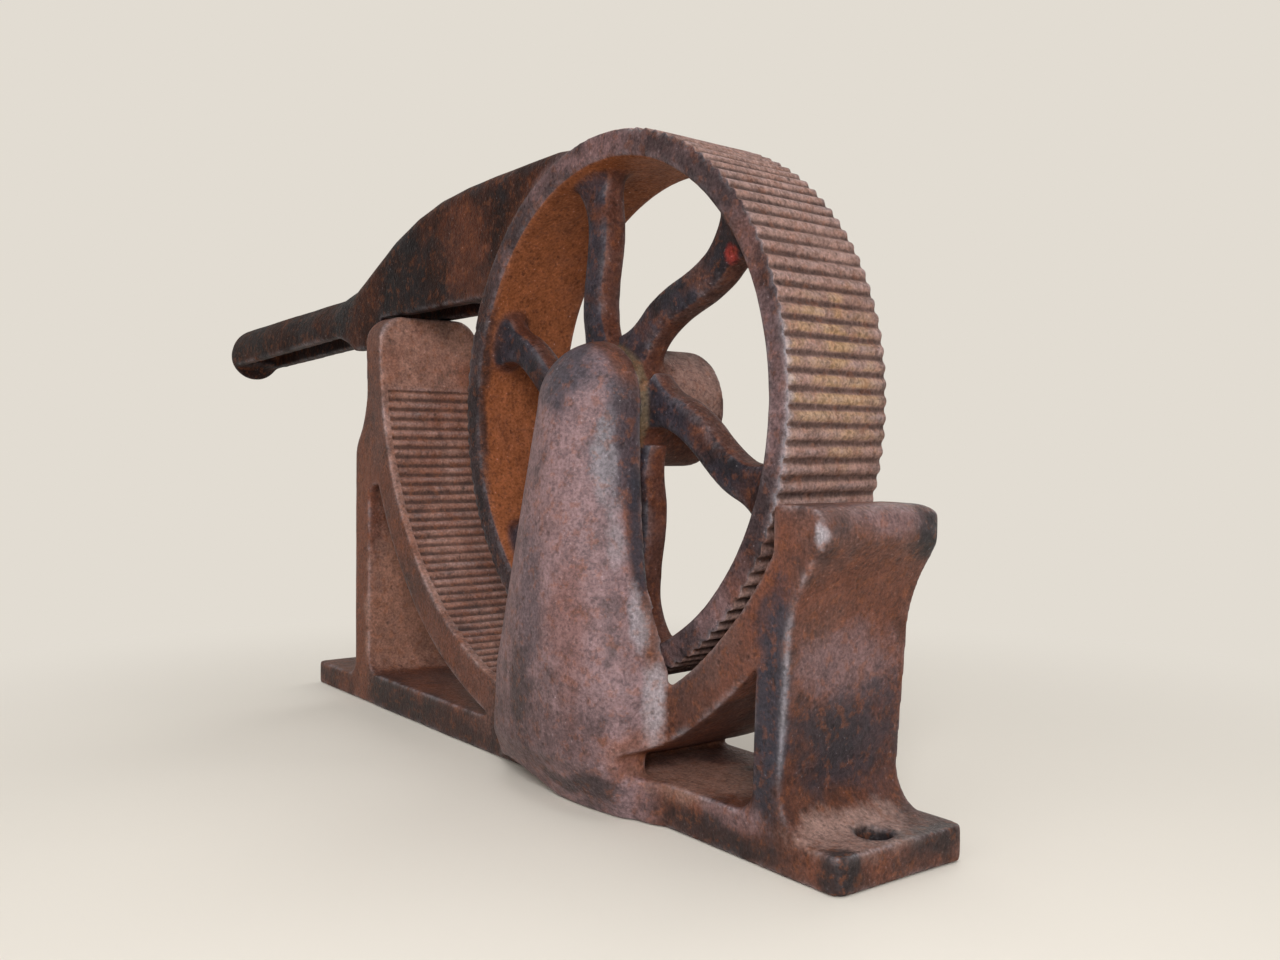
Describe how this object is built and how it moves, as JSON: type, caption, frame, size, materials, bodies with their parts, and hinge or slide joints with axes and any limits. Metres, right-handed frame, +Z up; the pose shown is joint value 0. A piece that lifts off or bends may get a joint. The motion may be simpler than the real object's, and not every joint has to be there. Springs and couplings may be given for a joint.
{
  "type": "rotary cork press",
  "caption": "Old iron rotary cork press: a ribbed spoked wheel with a lever handle turns on a pin and rolls a cork into a narrowing ribbed cradle.",
  "frame": {"origin": "on the table plane, straight under the wheel's axis and midway along the axle", "axes": "+X along the base away from the lever, -Y towards the standard that carries the axle, +Z up"},
  "size_m": [0.327, 0.0465, 0.139],
  "materials": {
    "frame_iron": "rusty, sandy cast skin",
    "wheel_iron": "rusty, with worn black enamel",
    "pin_iron": "rusty"
  },
  "bodies": {
    "frame": {"cradle_frame": "frame_iron", "axle_pin": "pin_iron"},
    "wheel": {"lever_wheel": "wheel_iron"}
  },
  "joints": [
    {"name": "wheel_turn", "type": "hinge", "parent": "frame", "child": "wheel", "pos_m": [0, 0, 0.0815], "axis": [0, 1, 0], "range_deg": [0, 115]}
  ]
}
